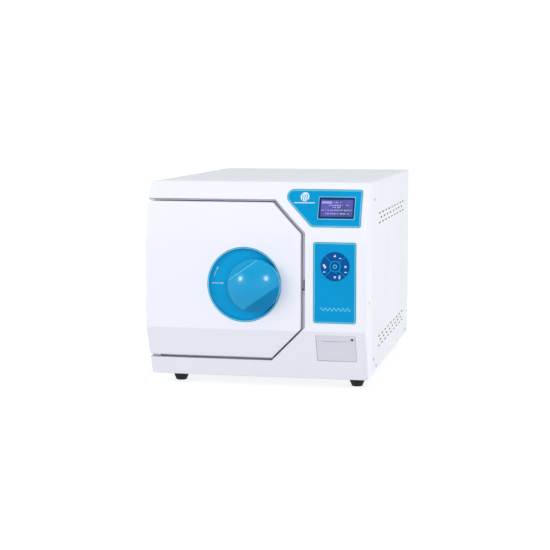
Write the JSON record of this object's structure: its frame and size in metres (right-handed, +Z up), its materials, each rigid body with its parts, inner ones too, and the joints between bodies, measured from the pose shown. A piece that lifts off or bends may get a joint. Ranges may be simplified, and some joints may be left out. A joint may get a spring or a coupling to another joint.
{
  "type": "benchtop autoclave",
  "caption": "Benchtop steam autoclave: side-hinged chamber door with a turning lock knob, display, keypad, printer, trayed chamber and rear fittings.",
  "frame": {"origin": "on the surface the feet stand on, under the middle of the whole object's box", "axes": "+Z up, the front with the door faces -Y, +X to the right seen from the front"},
  "size_m": [0.445, 0.77, 0.415],
  "materials": {
    "moulded_white": "smooth satin moulding",
    "painted_white": "fine powder coat",
    "steel": "brushed stainless",
    "black_rubber": "matt",
    "silicone": "translucent silicone",
    "knob_blue": "polished",
    "dish_blue": "satin",
    "ring_cyan": "polished",
    "panel_blue": "fine grained polyester film",
    "key_blue": "fine grained polyester film",
    "display_navy": "satin",
    "display_glass": "clear window over a lit screen",
    "printer_grey": "satin moulding",
    "black_plastic": "satin moulding",
    "paper": "smooth paper",
    "insulation": "mineral wool mat",
    "brass": "machined",
    "board_green": "solder mask",
    "aluminium": "cast and milled",
    "tank_white": "natural polyethylene",
    "heater_copper": "oxidised band"
  },
  "bodies": {
    "casing": {"front_frame": "moulded_white", "wrap_cover": "painted_white", "rear_panel": "painted_white", "base_pan": "steel", "pressure_vessel": "steel", "chamber_cradle": "steel", "tray_rack": "steel", "tray_lower": "steel", "tray_middle": "steel", "tray_upper": "steel", "hinge_pin_upper": "steel", "hinge_pin_lower": "steel", "strike_plate": "steel", "steam_generator": "steel", "steam_line": "steel", "foot_front_left": "black_rubber", "foot_front_right": "black_rubber", "foot_rear_left": "black_rubber", "foot_rear_right": "black_rubber", "heater_band": "heater_copper", "insulation_jacket": "insulation", "safety_valve": "brass", "drain_valve_body": "brass", "display_panel": "panel_blue", "control_panel": "panel_blue", "display_bezel": "display_navy", "display_window": "display_glass", "printer_body": "printer_grey", "fan_housing": "black_plastic", "power_inlet": "black_plastic", "control_board": "board_green", "power_supply": "aluminium", "vacuum_pump": "aluminium", "condenser": "aluminium", "water_tank": "tank_white"},
    "door": {"door_cover": "moulded_white", "door_back_cover": "painted_white", "door_beam": "steel", "pivot_block_lower": "brass", "pivot_block_upper": "brass", "pressure_plate": "steel", "door_gasket": "silicone", "knob_dish": "dish_blue", "dish_ring": "ring_cyan", "bolt_guide": "steel"},
    "knob": {"knob": "knob_blue", "knob_spindle": "steel"},
    "bolt": {"lock_bolt": "steel"},
    "key_up": {"key_up": "key_blue"},
    "key_right": {"key_right": "key_blue"},
    "key_down": {"key_down": "key_blue"},
    "key_left": {"key_left": "key_blue"},
    "key_centre": {"key_centre": "key_blue"},
    "printer_lid": {"printer_lid": "printer_grey"},
    "paper_roll": {"paper_roll": "paper"},
    "feed_button": {"feed_button": "black_plastic"},
    "fan_rotor": {"fan_rotor": "black_plastic"},
    "power_switch": {"power_switch": "black_plastic"},
    "drain_lever": {"drain_lever": "brass"}
  },
  "joints": [
    {"name": "door_hinge", "type": "hinge", "parent": "casing", "child": "door", "pos_m": [-0.206, -0.299, 0.2], "axis": [0, 0, -1], "range_deg": [0, 110]},
    {"name": "knob_turn", "type": "hinge", "parent": "door", "child": "knob", "pos_m": [0.0035, -0.343, 0.215], "axis": [0, 1, 0], "range_deg": [0, 90]},
    {"name": "bolt_slide", "type": "slide", "parent": "door", "child": "bolt", "axis": [1, 0, 0], "range_m": [0, 0.01415]},
    {"name": "key_up_press", "type": "slide", "parent": "casing", "child": "key_up", "axis": [0, 1, 0], "range_m": [0, 0.0007], "stiffness_N_per_m": 1500},
    {"name": "key_right_press", "type": "slide", "parent": "casing", "child": "key_right", "axis": [0, 1, 0], "range_m": [0, 0.0007], "stiffness_N_per_m": 1500},
    {"name": "key_down_press", "type": "slide", "parent": "casing", "child": "key_down", "axis": [0, 1, 0], "range_m": [0, 0.0007], "stiffness_N_per_m": 1500},
    {"name": "key_left_press", "type": "slide", "parent": "casing", "child": "key_left", "axis": [0, 1, 0], "range_m": [0, 0.0007], "stiffness_N_per_m": 1500},
    {"name": "key_centre_press", "type": "slide", "parent": "casing", "child": "key_centre", "axis": [0, 1, 0], "range_m": [0, 0.0007], "stiffness_N_per_m": 1500},
    {"name": "printer_lid_hinge", "type": "hinge", "parent": "casing", "child": "printer_lid", "pos_m": [0.162, -0.31515, 0.06589], "axis": [1, 0, 0], "range_deg": [0, 80]},
    {"name": "paper_roll_turn", "type": "hinge", "parent": "casing", "child": "paper_roll", "pos_m": [0.162, -0.30627, 0.09251], "axis": [1, 0, 0], "continuous": true},
    {"name": "feed_button_press", "type": "slide", "parent": "casing", "child": "feed_button", "axis": [0, 0.9219, 0.3875], "range_m": [0, 0.001], "stiffness_N_per_m": 800},
    {"name": "fan_rotor_turn", "type": "hinge", "parent": "casing", "child": "fan_rotor", "pos_m": [0.13, 0.331, 0.312], "axis": [0, 1, 0], "continuous": true},
    {"name": "power_switch_rock", "type": "hinge", "parent": "casing", "child": "power_switch", "pos_m": [-0.125, 0.352, 0.089], "axis": [1, 0, 0], "range_deg": [0, 20]},
    {"name": "drain_lever_turn", "type": "hinge", "parent": "casing", "child": "drain_lever", "pos_m": [0.06, 0.375, 0.097], "axis": [0, 0, 1], "range_deg": [0, 90]}
  ],
  "couplings": [
    {"joint": "bolt_slide", "follows": "knob_turn", "m_per_rad": 0.009}
  ]
}
